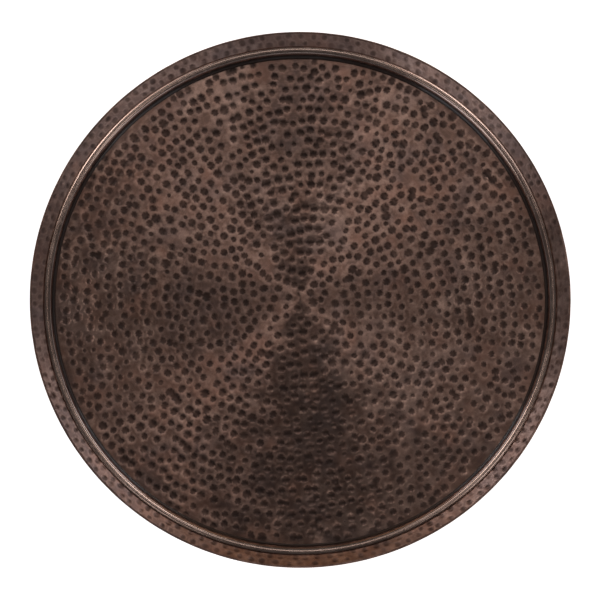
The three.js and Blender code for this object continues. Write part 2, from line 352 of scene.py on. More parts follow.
# ------------------------------------------------------------------ materials

FIELD = (0.275, 0.150, 0.109)
FIELD_LIGHT = (0.600, 0.370, 0.290)
FIELD_DARK = (0.165, 0.095, 0.078)
PIT = (0.072, 0.039, 0.031)
PIT_LIGHT = (0.110, 0.060, 0.046)


def hammered_copper():
    n = Nodes("hammered_copper")
    co = n.coord()
    # patina_and_shade darkens the colour: dark patina in the hammer marks, and partly patina, partly painted shade in
    # the wall's crease and the bend
    patina_and_shade = n.attribute("patina_and_shade")
    rim = n.attribute("rim")
    cloud = n.noise(co, 14.0, 3.0, 0.55)
    mottle = n.noise(co, 95.0, 4.0, 0.6)
    grit = n.noise(co, 620.0, 3.0, 0.65)
    streak = n.noise(polar(n, 9.0, 900.0), 1.0, 3.0, 0.6)

    field = n.ramp(n.math("ADD", n.math("MULTIPLY", cloud, 0.5), n.math("MULTIPLY", mottle, 0.5)),
                   [(0.36, FIELD_DARK), (0.50, FIELD), (0.62, FIELD_LIGHT)])
    # the rim attribute lightens the colour: on the marks' rims partly burnished wear, partly painted highlight; the
    # wall's overall rim value is painted light
    field = n.mix(n.span(rim, 0.0, 1.0, 0.0, 0.75), field, FIELD_LIGHT)
    field = n.mix(n.span(grit, 0.35, 0.75, 0.0, 0.35), field, FIELD_DARK)
    field = n.mix(n.span(streak, 0.50, 0.78, 0.0, 0.22), field, FIELD_LIGHT)
    patch = n.noise(co, 27.0, 3.0, 0.6)
    blush = n.noise(co, 41.0, 2.0, 0.5)
    field = n.mix(n.span(patch, 0.50, 0.68, 0.0, 0.55), field, (0.150, 0.098, 0.092))
    field = n.mix(n.span(blush, 0.50, 0.70, 0.0, 0.40), field, (0.430, 0.205, 0.140))
    hollow = n.mix(n.span(mottle, 0.40, 0.65, 0.0, 1.0), PIT, PIT_LIGHT)
    depth = n.math("MULTIPLY", patina_and_shade, n.span(grit, 0.25, 0.75, 1.0, 0.82), clamp=True)
    colour = n.mix(depth, field, hollow)
    rough = n.math("ADD", n.span(patina_and_shade, 0.0, 1.0, 0.34, 0.48), n.span(grit, 0.3, 0.7, -0.05, 0.07))
    rough = n.math("ADD", rough, n.span(cloud, 0.3, 0.7, 0.03, -0.03))
    skin = n.bump(grit, 0.10, 0.0002)
    skin = n.bump(streak, 0.05, 0.0002, skin)
    n.bsdf.inputs["Anisotropic"].default_value = 0.88
    n.bsdf.inputs["Coat Weight"].default_value = 0.35
    n.bsdf.inputs["Coat Roughness"].default_value = 0.30
    # the hammering disturbs the direction in which the sheet was burnished
    tangent = n.node("ShaderNodeTangent", direction_type="RADIAL", axis="Z")
    stray = n.node("ShaderNodeTexNoise")
    n.link(co, stray.inputs["Vector"])
    stray.inputs["Scale"].default_value = 55.0
    stray.inputs["Detail"].default_value = 2.0
    centred = n.node("ShaderNodeVectorMath", operation="SUBTRACT")
    n.link(stray.outputs["Color"], centred.inputs[0])
    centred.inputs[1].default_value = (0.5, 0.5, 0.5)
    turned = n.node("ShaderNodeVectorMath", operation="ADD")
    n.link(tangent.outputs[0], turned.inputs[0])
    n.link(n.scaled(centred.outputs[0], (1.3, 1.3, 0.0)), turned.inputs[1])
    n.link(turned.outputs[0], n.bsdf.inputs["Tangent"])
    return n.set(Base_Color=colour, Metallic=1.0, Roughness=rough, Normal=skin)


def polished_copper():
    n = Nodes("polished_copper")
    co = n.coord()
    cloud = n.noise(co, 22.0, 3.0, 0.5)
    grit = n.noise(co, 160.0, 3.0, 0.5)
    shade = n.attribute("shade")
    colour = n.ramp(n.math("ADD", n.math("MULTIPLY", cloud, 0.7), n.math("MULTIPLY", grit, 0.3)),
                    [(0.35, (0.44, 0.285, 0.228)), (0.65, (0.62, 0.430, 0.355))])
    # the shade attribute paints shade into the colour and raises the roughness
    colour = n.mix(n.math("MULTIPLY", shade, 0.94), colour, (0.030, 0.018, 0.015))
    rough = n.math("ADD", n.span(cloud, 0.3, 0.7, 0.20, 0.24), n.span(grit, 0.3, 0.7, -0.02, 0.04))
    rough = n.math("ADD", rough, n.math("MULTIPLY", shade, 0.22))
    n.bsdf.inputs["Coat Weight"].default_value = 0.75
    n.bsdf.inputs["Coat Roughness"].default_value = 0.09
    n.bsdf.inputs["Anisotropic"].default_value = 0.45
    tangent = n.node("ShaderNodeTangent", direction_type="RADIAL", axis="Z")
    n.link(tangent.outputs[0], n.bsdf.inputs["Tangent"])
    return n.set(Base_Color=colour, Metallic=1.0, Roughness=rough)


COPPER = hammered_copper()
POLISHED = polished_copper()


# ------------------------------------------------------------------ hammer marks on the floor of the pan

def floor_marks():
    """Centres of the hammer marks: eight spiral courses of blows from the middle outwards, struck by hand."""
    arms, row, step, last = 8, 9.55, 9.0, 207.6
    b = arms * row / (2 * math.pi)
    pts = []
    for k in range(arms):
        th = 4.0 / b
        r = b * th
        while r < last + 12:
            th += step * (1 + 0.08 * rng.standard_normal()) / math.hypot(r, b)
            r = b * th
            t = -th + 2 * math.pi * k / arms
            rr = r + 1.85 * rng.standard_normal()
            tt = t + 2.1 * rng.standard_normal() / max(r, 6)
            pts.append((rr * math.cos(tt), rr * math.sin(tt)))
    p = np.array(pts)
    drift = np.zeros_like(p)
    for _ in range(6):
        a, ph, length, d = rng.uniform(0, 2 * math.pi), rng.uniform(0, 2 * math.pi), rng.uniform(45, 110), rng.uniform(0, 2 * math.pi)
        s = np.sin((p[:, 0] * math.cos(a) + p[:, 1] * math.sin(a)) * 2 * math.pi / length + ph)
        drift += 0.92 * s[:, None] * np.array([math.cos(d), math.sin(d)])
    p = p + drift
    joined = rng.random(len(p)) < 0.05
    for _ in range(4):
        d = p[:, None, :] - p[None, :, :]
        q = np.hypot(d[..., 0], d[..., 1])
        np.fill_diagonal(q, 1e9)
        least = np.where(joined[:, None] | joined[None, :], 5.6, 10.0)
        push = np.clip(least - q, 0, None) * 0.12
        p = p + (d / q[..., None] * push[..., None]).sum(axis=1)
    return p[np.hypot(p[:, 0], p[:, 1]) < last]


def marks_with_sizes(p, size, depth):
    n = len(p)
    radius = np.clip(size + 0.40 * rng.standard_normal(n), size * 0.68, size * 1.28)
    small = rng.random(n) < 0.03
    radius = np.where(small, radius * 0.6, radius)
    deep = depth * (radius / size) * np.clip(1 + 0.16 * rng.standard_normal(n), 0.65, 1.4)
    aspect = 1 + np.abs(0.09 * rng.standard_normal(n))
    turn = rng.random(n) * math.pi
    tone = np.clip(0.93 + 0.10 * rng.standard_normal(n), 0.6, 1.0)
    tilt = 0.10 * rng.standard_normal((n, 2))
    return dict(p=p, radius=radius, depth=deep, aspect=aspect, turn=turn, tone=tone, tilt=tilt)


def mark_u(q, k, i):
    """Distance of the points q from mark i, in units of its radius, and the offsets."""
    d = q - k["p"][i]
    c, s = np.cos(k["turn"][i]), np.sin(k["turn"][i])
    a = (d[..., 0] * c + d[..., 1] * s) / np.sqrt(k["aspect"][i])
    b = (-d[..., 0] * s + d[..., 1] * c) * np.sqrt(k["aspect"][i])
    return np.hypot(a, b) / k["radius"][i], d


def mark_field(q, k, near=6):
    """Depth of the hollow, height of its rim, and the tone of the hollow at the points q."""
    depth = np.zeros(len(q))
    rim = np.zeros(len(q))
    tone = np.zeros(len(q))
    for lo in range(0, len(q), 4000):
        c = q[lo:lo + 4000]
        dd = (c[:, None, 0] - k["p"][None, :, 0]) ** 2 + (c[:, None, 1] - k["p"][None, :, 1]) ** 2
        idx = np.argpartition(dd, near, axis=1)[:, :near]
        u, d = mark_u(c[:, None, :], k, idx)
        bowl = 0.86 * (1 - smoothstep(0.52, 1.04, u)) + 0.14 * np.clip(1 - u * u, 0, 1)
        lean = (d * k["tilt"][idx]).sum(axis=2) / k["radius"][idx]
        g = np.clip(k["depth"][idx] * bowl * (1 + lean), 0, None)
        depth[lo:lo + 4000] = (g ** 4).sum(axis=1) ** 0.25
        e = np.exp(-((u - 1.16) / 0.13) ** 2) * (k["depth"][idx] / 0.42)
        rim[lo:lo + 4000] = e.max(axis=1)
        t = (1 - smoothstep(0.86, 1.08, u)) * k["tone"][idx]
        tone[lo:lo + 4000] = t.max(axis=1)
    rim *= 1 - tone
    return depth, rim, tone


_wave = [(rng.uniform(0, 2 * math.pi), rng.uniform(0, 2 * math.pi), rng.uniform(a, b), amp)
         for a, b, amp in ((55, 120, 0.045),) * 4 + ((17, 34, 0.014),) * 9]


def sheet_wave(x, y):
    """The sheet's own unevenness between the blows."""
    h = np.zeros_like(x)
    for direction, phase, length, amp in _wave:
        h += amp * np.sin((x * math.cos(direction) + y * math.sin(direction)) * 2 * math.pi / length + phase)
    return h


COLUMNS = 540                 # points round the hidden edge of the floor
FINE = 2 * COLUMNS            # points round the wall
FLOOR_EDGE = 208.4


def ring_points(radius, n, phase=0.0):
    a = (np.arange(n) + phase) * 2 * math.pi / n
    return np.c_[radius * np.cos(a), radius * np.sin(a)]


def floor_mesh(k):
    pts = [ring_points(FLOOR_EDGE, COLUMNS)]
    pts.append(ring_points(FLOOR_EDGE - 1.7, COLUMNS, 0.5))
    inner = []
    for u, count in ((0.0, 1), (0.50, 5), (0.82, 7), (1.05, 9), (1.24, 7)):
        for i in range(len(k["p"])):
            a = rng.random() * 2 * math.pi + np.arange(count) * 2 * math.pi / count
            ea = u * k["radius"][i] * np.sqrt(k["aspect"][i]) * np.cos(a)
            eb = u * k["radius"][i] / np.sqrt(k["aspect"][i]) * np.sin(a)
            c, s = math.cos(k["turn"][i]), math.sin(k["turn"][i])
            q = np.c_[ea * c - eb * s, ea * s + eb * c] + k["p"][i]
            inner.append(np.c_[q, np.full(count, u), np.full(count, i)])
    inner = np.concatenate(inner)
    # a point of one mark that falls well inside another mark is left out
    keep = np.ones(len(inner), bool)
    for lo in range(0, len(inner), 4000):
        c = inner[lo:lo + 4000]
        dd = (c[:, None, 0] - k["p"][None, :, 0]) ** 2 + (c[:, None, 1] - k["p"][None, :, 1]) ** 2
        idx = np.argpartition(dd, 3, axis=1)[:, :3]
        u, _ = mark_u(c[:, None, :2], k, idx)
        other = idx != c[:, 3].astype(int)[:, None]
        inside = (other & (u < np.where(c[:, 2:3] > 0.9, 1.0, 0.8))).any(axis=1) | (np.hypot(c[:, 0], c[:, 1]) > FLOOR_EDGE - 2.2)
        keep[lo:lo + 4000] = ~inside
    inner = inner[keep]
    pts.append(inner[:, :2])
    # between the marks
    gap = 3.0
    rows = []
    y = -FLOOR_EDGE
    odd = False
    while y < FLOOR_EDGE:
        x = np.arange(-FLOOR_EDGE, FLOOR_EDGE, gap) + (gap / 2 if odd else 0)
        rows.append(np.c_[x, np.full(len(x), y)])
        y += gap * 0.866
        odd = not odd
    g = np.concatenate(rows)
    g += rng.uniform(-0.35, 0.35, g.shape)
    g = g[np.hypot(g[:, 0], g[:, 1]) < FLOOR_EDGE - 2.6]
    clear = np.ones(len(g), bool)
    for lo in range(0, len(g), 4000):
        c = g[lo:lo + 4000]
        dd = (c[:, None, 0] - k["p"][None, :, 0]) ** 2 + (c[:, None, 1] - k["p"][None, :, 1]) ** 2
        idx = np.argpartition(dd, 4, axis=1)[:, :4]
        u, _ = mark_u(c[:, None, :], k, idx)
        clear[lo:lo + 4000] = u.min(axis=1) > 1.5
    pts.append(g[clear])
    q = np.concatenate(pts)
    # no two points closer than 0.28 mm
    cell = {}
    kept = []
    for j in range(len(q)):
        a, b = int(q[j, 0] // 0.3), int(q[j, 1] // 0.3)
        close = False
        for da in (-1, 0, 1):
            for db in (-1, 0, 1):
                for m in cell.get((a + da, b + db), ()):
                    if (q[m, 0] - q[j, 0]) ** 2 + (q[m, 1] - q[j, 1]) ** 2 < 0.078:
                        close = True
        if not close or j < COLUMNS:
            cell.setdefault((a, b), []).append(j)
            kept.append(j)
    q = q[kept]
    out = delaunay_2d_cdt([Vector(v) for v in q.tolist()], [], [], 0, 1e-7, False)
    xy = np.array([tuple(v) for v in out[0]])
    tri = np.array([f for f in out[2] if len(f) == 3], int)
    # counter-clockwise, seen from above
    a, b, c = xy[tri[:, 0]], xy[tri[:, 1]], xy[tri[:, 2]]
    area = (b[:, 0] - a[:, 0]) * (c[:, 1] - a[:, 1]) - (b[:, 1] - a[:, 1]) * (c[:, 0] - a[:, 0])
    tri[area < 0] = tri[area < 0][:, ::-1]
    tri = tri[np.abs(area) > 1e-6]
    return xy, tri


# ------------------------------------------------------------------ the pan's section

hem_r = TRAY_R - HEM_RADIUS
hem_z = RIM_H - HEM_RADIUS
to_hem = (hem_r - WALL_FOOT_R, hem_z)
wall_angle = math.atan2(to_hem[1], to_hem[0]) + math.asin(HEM_RADIUS / math.hypot(*to_hem))
along = (math.cos(wall_angle), math.sin(wall_angle))
out_n = (along[1], -along[0])
wall_deg = math.degrees(wall_angle)
bend_r = WALL_FOOT_R - CORNER_FILLET * math.tan(wall_angle / 2)
bend_z = CORNER_FILLET


def wall_point(t, off=0.0):
    return WALL_FOOT_R + along[0] * t + out_n[0] * off, along[1] * t + out_n[1] * off


WALL_T0 = CORNER_FILLET * math.tan(wall_angle / 2)              # where the bend ends
WALL_T1 = math.hypot(*to_hem) * math.cos(math.asin(HEM_RADIUS / math.hypot(*to_hem)))   # where the hem begins
WALL_SEEN = 7.1 / along[1]                                       # the bead covers the wall below this


def wall_marks():
    """Two staggered rows of shallow marks round the wall; (distance round at the wall's mean radius, t)."""
    mean = 223.0
    n = 138
    pts = []
    for row, t in enumerate((WALL_SEEN + 3.1, WALL_SEEN + 9.7)):
        for i in range(n):
            s = (i + 0.5 * row + 0.12 * rng.standard_normal()) * 2 * math.pi * mean / n
            pts.append((s, t + 0.45 * rng.standard_normal()))
    p = np.array(pts)
    m = len(p)
    return dict(p=p, radius=np.clip(2.75 + 0.28 * rng.standard_normal(m), 2.0, 3.4),
                depth=0.24 * np.clip(1 + 0.2 * rng.standard_normal(m), 0.5, 1.5),
                aspect=1 + np.abs(0.12 * rng.standard_normal(m)), turn=rng.random(m) * math.pi,
                tone=np.clip(0.46 + 0.15 * rng.standard_normal(m), 0.2, 0.95), tilt=0.1 * rng.standard_normal((m, 2)),
                length=2 * math.pi * mean)


def wall_field(angle, t, k):
    """Hollow depth, rim and tone on the wall at (angle, t)."""
    s = angle * k["length"] / (2 * math.pi)
    depth = np.zeros_like(s)
    rim = np.zeros_like(s)
    tone = np.zeros_like(s)
    for i in range(len(k["p"])):
        ds = (s - k["p"][i, 0] + k["length"] / 2) % k["length"] - k["length"] / 2
        near = np.abs(ds) < 6
        if not near.any():
            continue
        d = np.c_[ds[near], t[near] - k["p"][i, 1]]
        c, sn = math.cos(k["turn"][i]), math.sin(k["turn"][i])
        a = (d[:, 0] * c + d[:, 1] * sn) / math.sqrt(k["aspect"][i])
        b = (-d[:, 0] * sn + d[:, 1] * c) * math.sqrt(k["aspect"][i])
        u = np.hypot(a, b) / k["radius"][i]
        g = k["depth"][i] * (1 - smoothstep(0.0, 1.15, u))
        depth[near] = np.maximum(depth[near], g)
        rim[near] = np.maximum(rim[near], np.exp(-((u - 1.2) / 0.2) ** 2) * 0.6)
        tone[near] = np.maximum(tone[near], (1 - smoothstep(0.55, 1.15, u)) * k["tone"][i])
    return depth, rim * (1 - tone), tone


def pan():
    k = marks_with_sizes(floor_marks(), 3.20, 0.40)
    # the blows get lighter against the edge of the floor
    edge = smoothstep(198, 209, np.hypot(k["p"][:, 0], k["p"][:, 1]))
    k["depth"] = k["depth"] * (1 - 0.3 * edge)
    xy, tri = floor_mesh(k)
    depth, rim, tone = mark_field(xy, k)
    calm = 1 - smoothstep(198, 208, np.hypot(xy[:, 0], xy[:, 1]))
    z = Z_FLOOR - depth + 0.10 * rim + sheet_wave(xy[:, 0], xy[:, 1]) * calm
    on_edge = np.abs(np.hypot(xy[:, 0], xy[:, 1]) - FLOOR_EDGE) < 1e-3
    z[on_edge] = Z_FLOOR
    verts = [np.c_[xy, z]]
    patina_and_shade = [tone]
    rims = [rim]
    faces = [tuple(f) for f in tri.tolist()]
    count = len(xy)

    ids = np.where(on_edge)[0]
    order = np.argsort(np.arctan2(xy[ids, 1], xy[ids, 0]) % (2 * math.pi))
    ring = ids[order]
    assert len(ring) == COLUMNS
    start = np.arctan2(xy[ring[0], 1], xy[ring[0], 0])

    wk = wall_marks()

    def add_ring(r, z_, columns, p=0.0, m=0.0):
        nonlocal count
        a = start + np.arange(columns) * 2 * math.pi / columns
        r = np.broadcast_to(np.asarray(r, float), (columns,))
        z_ = np.broadcast_to(np.asarray(z_, float), (columns,)) + Z_FLOOR
        verts.append(np.c_[r * np.cos(a), r * np.sin(a), z_])
        patina_and_shade.append(np.broadcast_to(np.asarray(p, float), (columns,)))
        rims.append(np.broadcast_to(np.asarray(m, float), (columns,)))
        ids_ = np.arange(count, count + columns)
        count += columns
        return ids_

    def bridge(a, b):
        if len(a) == len(b):
            k2 = np.roll(np.arange(len(a)), -1)
            faces.extend(zip(a.tolist(), a[k2].tolist(), b[k2].tolist(), b.tolist()))
        elif len(b) == 2 * len(a):
            for j in range(len(a)):
                a0, a1 = int(a[j]), int(a[(j + 1) % len(a)])
                b0, b1, b2 = int(b[2 * j]), int(b[2 * j + 1]), int(b[(2 * j + 2) % len(b)])
                faces.extend(((a0, b1, b0), (a0, a1, b1), (a1, b2, b1)))
        else:
            for j in range(len(b)):
                b0, b1 = int(b[j]), int(b[(j + 1) % len(b)])
                a0, a1, a2 = int(a[2 * j]), int(a[2 * j + 1]), int(a[(2 * j + 2) % len(a)])
                faces.extend(((b0, a0, a1), (b0, a1, b1), (b1, a1, a2)))

    last = ring
    # partly patina, partly painted shade: the bend between floor and wall, under the bead, is darkened
    for r, zz in arc(bend_r, bend_z, CORNER_FILLET, -90, -90 + wall_deg, 4):
        new = add_ring(r, zz, COLUMNS, 0.7)
        bridge(last, new)
        last = new
    a_fine = np.arange(FINE) * 2 * math.pi / FINE
    wobble = 0.05 * np.sin(a_fine * 3 + 0.7) + 0.035 * np.sin(a_fine * 7 + 2.1) + 0.02 * np.sin(a_fine * 19 + 1.3)
    # inner face of the wall
    t_rows = np.concatenate([[WALL_SEEN - 1.6], np.linspace(WALL_SEEN - 0.6, WALL_T1 - 0.4, 13)])
    for t in t_rows:
        d, m, p = wall_field(a_fine, np.full(FINE, t), wk)
        soft = smoothstep(WALL_SEEN - 1.6, WALL_SEEN + 0.6, t)
        off = -(-d + 0.03 * m) * soft + wobble * soft * 0.5
        r = WALL_FOOT_R + along[0] * t + out_n[0] * off
        zz = along[1] * t + out_n[1] * off
        # partly patina, partly painted shade: the wall is darkened at its foot, in the crease against the bead
        crease = 1 - smoothstep(WALL_SEEN - 0.6, WALL_SEEN + 1.0, t)
        # painted light: a rim value of 0.25 over the whole inner face of the wall lightens it a little, and the marks'
        # rims on it are partly painted highlight
        new = add_ring(r, zz, FINE, np.maximum(p, 0.25 * crease), 0.25 + 0.75 * m)
        bridge(last, new)
        last = new
    # the rolled hem
    dent = 0.045 * np.sin(a_fine * 46 + 0.4) * np.sin(a_fine * 5 + 1.0) + 0.03 * np.sin(a_fine * 71 + 2.0)
    for ang in np.linspace(90 + wall_deg, wall_deg - 90, 7):
        rr = HEM_RADIUS + np.minimum(dent, 0.0)
        r = hem_r + rr * math.cos(math.radians(ang)) + wobble * 0.25 - 0.02
        zz = hem_z + rr * math.sin(math.radians(ang)) - 0.02
        new = add_ring(r, zz, FINE, 0.35, 0.0)
        bridge(last, new)
        last = new
    # the hem's return, its edge, and the outer face of the wall
    hr = hem_r + HEM_RADIUS * math.cos(math.radians(wall_deg - 90))
    hz = hem_z + HEM_RADIUS * math.sin(math.radians(wall_deg - 90))
    for s in (1.6, 3.2, HEM_RETURN - 0.25):
        new = add_ring(hr - along[0] * s, hz - along[1] * s, FINE, 0.1, 0.2)
        bridge(last, new)
        last = new
    for s, o in ((HEM_RETURN, 0.22), (HEM_RETURN, 2 * HEM_RADIUS - SHEET)):
        new = add_ring(hr - along[0] * s - out_n[0] * o, hz - along[1] * s - out_n[1] * o, FINE, 0.55, 0.0)
        bridge(last, new)
        last = new
    t_step = WALL_T1 - HEM_RETURN
    for t in np.linspace(t_step - 0.9, WALL_T0 + 1.4, 6):
        d, m, p = wall_field(a_fine, np.full(FINE, t), wk)
        soft = smoothstep(WALL_T0 + 1.0, WALL_T0 + 5.0, t)
        off = SHEET + (d * 0.75 + wobble * 0.5) * soft
        r = WALL_FOOT_R + along[0] * t + out_n[0] * off
        zz = along[1] * t + out_n[1] * off
        new = add_ring(r, zz, FINE, 0.25, m * 0.3)
        bridge(last, new)
        last = new
    for r, zz in arc(bend_r, bend_z, CORNER_FILLET + SHEET, -90 + wall_deg, -90, 4):
        new = add_ring(r, zz, COLUMNS, 0.25)
        bridge(last, new)
        last = new
    for r in (206.5, 203.0, 199.0, 195.0):
        new = add_ring(r, -SHEET, COLUMNS, 0.3)
        bridge(last, new)
        last = new
    n_cols = COLUMNS
    r = 160.0
    while n_cols % 2 == 0 and n_cols > 70:
        n_cols //= 2
        new = add_ring(r, -SHEET, n_cols, 0.3)
        bridge(last, new)
        last = new
        r *= 0.6
    verts.append(np.array([[0, 0, Z_FLOOR - SHEET]]))
    patina_and_shade.append(np.array([0.3]))
    rims.append(np.array([0.0]))
    for j in range(len(last)):
        faces.append((int(last[j]), int(last[(j + 1) % len(last)]), count))
    v = np.concatenate(verts)
    ob = new_piece("pan_sheet", v, faces, [COPPER])
    at = ob.data.attributes.new("patina_and_shade", "FLOAT", "POINT")
    at.data.foreach_set("value", np.concatenate(patina_and_shade).astype(np.float32))
    at = ob.data.attributes.new("rim", "FLOAT", "POINT")
    at.data.foreach_set("value", np.concatenate(rims).astype(np.float32))
    print("pan", len(v), "points", sum(len(f) - 2 for f in faces), "triangles", len(k["p"]), "marks")
    return ob


pan_sheet = pan()
outward(pan_sheet)
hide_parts("copper_pan")
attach(pan_sheet, "tray")


# ------------------------------------------------------------------ bead moulding

def meets_wall(radius):
    a = 90.0
    while a > 0:
        x = BEAD_R + radius * math.cos(math.radians(a))
        z = BEAD_Z + radius * math.sin(math.radians(a))
        if (x - WALL_FOOT_R) * out_n[0] + (z * out_n[1]) + FIT >= 0:
            break
        a -= 0.25
    return a + 0.25


def clear_of_wall(r, extra=0.0):
    return r, (r - WALL_FOOT_R) * math.tan(wall_angle) + (FIT + extra) / along[0]


def bead():
    wall_in = BEAD_R - BEAD_ROUND
    lip = [
        (LIP_R + 0.05, FIT), (LIP_R - 0.08, FIT + 0.10), (LIP_R - 0.11, FIT + 0.34),
        (LIP_R + 0.02, FIT + 0.56), (LIP_R + 0.30, FIT + LIP_T),
        (bend_r + 0.55, FIT + LIP_T + 0.04), (bend_r + 0.95, FIT + LIP_T + 0.24),
        clear_of_wall(WALL_FOOT_R + 0.45, LIP_T), clear_of_wall(wall_in - 0.55, LIP_T),
        (wall_in - 0.28, 2.55), (wall_in - 0.10, 3.1),
    ]
    inner_r = BEAD_ROUND - BEAD_SHEET
    outer = arc(BEAD_R, BEAD_Z, BEAD_ROUND, 180, meets_wall(BEAD_ROUND), 24)
    inner = arc(BEAD_R, BEAD_Z, inner_r, meets_wall(inner_r), 180, 9)
    tail = [clear_of_wall(wall_in + BEAD_SHEET, 0.15), clear_of_wall(wall_in, 0.02)]
    tail += arc(bend_r, bend_z, CORNER_FILLET - FIT, -90 + wall_deg, -90, 3)
    prof = lip + outer + inner + tail
    segs = 720
    v, f = revolve([(r, z + Z_FLOOR) for r, z in prof], segs)
    v = np.array(v)
    ang = np.arctan2(v[:, 1], v[:, 0])
    # a rolled moulding is never dead true
    true = 0.05 * np.sin(3 * ang + 0.4) + 0.03 * np.sin(8 * ang + 1.9) + 0.012 * np.sin(31 * ang)
    lift = 0.04 * np.sin(2 * ang + 2.2) + 0.02 * np.sin(11 * ang + 0.6)
    top = smoothstep(Z_FLOOR + 1.4, Z_FLOOR + 5.0, v[:, 2]) * smoothstep(0.0, 1.2, BEAD_R + 2.6 - np.hypot(v[:, 0], v[:, 1]))
    r = np.hypot(v[:, 0], v[:, 1])
    k = (r - np.abs(true) * top) / r
    v[:, 0] *= k
    v[:, 1] *= k
    v[:, 2] += (lift - 0.06) * top
    ob = new_piece("bead_ring", v, f, [POLISHED])
    # painted shade, with some patina in the creases: the lip and the bead's inner flank down to it are darkened, and
    # the outer flank against the wall a little
    h = v[:, 2] - Z_FLOOR
    rr = np.hypot(v[:, 0], v[:, 1])
    shade = np.maximum((1 - smoothstep(2.0, 5.2, h)) * (rr < BEAD_R),
                       0.35 * smoothstep(BEAD_R + 1.7, BEAD_R + 2.4, rr) * (h > 5))
    at = ob.data.attributes.new("shade", "FLOAT", "POINT")
    at.data.foreach_set("value", shade.astype(np.float32))
    return ob


bead_ring = bead()
outward(bead_ring)
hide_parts("bead_moulding")
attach(bead_ring, "tray")


# ------------------------------------------------------------------ materials of the turntable

def stained_wood():
    n = Nodes("stained_wood")
    co = n.coord()
    sway = n.noise(n.scaled(co, (2.2, 9.0, 9.0)), 1.0, 3.0, 0.5)
    push = n.node("ShaderNodeVectorMath", operation="SCALE")
    comb = n.node("ShaderNodeCombineXYZ")
    n.link(sway, comb.inputs[1])
    n.link(sway, comb.inputs[2])
    n.link(comb.outputs[0], push.inputs[0])
    push.inputs["Scale"].default_value = 0.055
    moved = n.node("ShaderNodeVectorMath", operation="ADD")
    n.link(co, moved.inputs[0])
    n.link(push.outputs[0], moved.inputs[1])
    rings = n.noise(n.scaled(moved.outputs[0], (1.6, 88.0, 60.0)), 1.0, 2.0, 0.45)
    figure = n.noise(n.scaled(moved.outputs[0], (5.0, 24.0, 24.0)), 1.0, 4.0, 0.55)
    pores = n.noise(n.scaled(moved.outputs[0], (34.0, 1150.0, 1150.0)), 1.0, 2.0, 0.5)
    fibre = n.noise(n.scaled(co, (60.0, 420.0, 420.0)), 1.0, 3.0, 0.6)
    base = n.ramp(n.math("ADD", n.math("MULTIPLY", rings, 0.62), n.math("MULTIPLY", figure, 0.38)),
                  [(0.34, (0.026, 0.0125, 0.0072)), (0.48, (0.060, 0.029, 0.0155)),
                   (0.60, (0.098, 0.050, 0.027)), (0.72, (0.135, 0.073, 0.040))])
    base = n.mix(n.span(fibre, 0.35, 0.70, 0.0, 0.45), base, (0.045, 0.022, 0.012))
    hole = n.span(pores, 0.60, 0.70, 0.0, 1.0)
    base = n.mix(n.math("MULTIPLY", hole, 0.75), base, (0.012, 0.006, 0.004))
    rough = n.math("ADD", n.span(figure, 0.3, 0.7, 0.40, 0.50), n.math("MULTIPLY", hole, 0.2))
    skin = n.bump(n.math("SUBTRACT", fibre, hole), 0.35, 0.00025)
    n.bsdf.inputs["Coat Weight"].default_value = 0.22
    n.bsdf.inputs["Coat Roughness"].default_value = 0.32
    return n.set(Base_Color=base, Roughness=rough, Normal=skin)


def zinc_steel():
    n = Nodes("zinc_steel")
    co = n.coord()
    v = n.node("ShaderNodeTexVoronoi", feature="F1")
    n.link(co, v.inputs["Vector"])
    v.inputs["Scale"].default_value = 260.0
    sep = n.node("ShaderNodeSeparateColor")
    n.link(v.outputs["Color"], sep.inputs[0])
    flake = sep.outputs[0]
    cloud = n.noise(co, 34.0, 4.0, 0.6)
    scratch = n.noise(polar(n, 22.0, 2600.0), 1.0, 3.0, 0.6)
    colour = n.ramp(n.math("ADD", n.math("MULTIPLY", flake, 0.45), n.math("MULTIPLY", cloud, 0.55)),
                    [(0.28, (0.36, 0.37, 0.38)), (0.55, (0.50, 0.51, 0.52)), (0.78, (0.60, 0.61, 0.61))])
    rough = n.math("ADD", n.span(flake, 0.0, 1.0, 0.26, 0.38), n.span(cloud, 0.3, 0.7, 0.05, -0.03))
    skin = n.bump(scratch, 0.12, 0.00008)
    return n.set(Base_Color=colour, Metallic=1.0, Roughness=rough, Normal=skin)


def screw_steel():
    n = Nodes("screw_steel")
    co = n.coord()
    cloud = n.noise(co, 420.0, 4.0, 0.6)
    fine = n.noise(co, 2600.0, 2.0, 0.5)
    colour = n.ramp(cloud, [(0.34, (0.30, 0.30, 0.31)), (0.52, (0.46, 0.46, 0.47)), (0.70, (0.60, 0.60, 0.60))])
    rough = n.math("ADD", n.span(cloud, 0.3, 0.7, 0.24, 0.36), n.span(fine, 0.3, 0.7, -0.03, 0.05))
    return n.set(Base_Color=colour, Metallic=1.0, Roughness=rough, Normal=n.bump(fine, 0.15, 0.00005))


def ball_steel():
    n = Nodes("ball_steel")
    co = n.coord()
    cloud = n.noise(co, 500.0, 3.0, 0.5)
    track = n.noise(n.scaled(co, (900.0, 900.0, 2400.0)), 1.0, 3.0, 0.6)
    colour = n.ramp(cloud, [(0.35, (0.56, 0.57, 0.58)), (0.65, (0.68, 0.69, 0.70))])
    rough = n.math("ADD", n.span(cloud, 0.3, 0.7, 0.06, 0.10), n.span(track, 0.55, 0.75, 0.0, 0.08))
    return n.set(Base_Color=colour, Metallic=1.0, Roughness=rough)


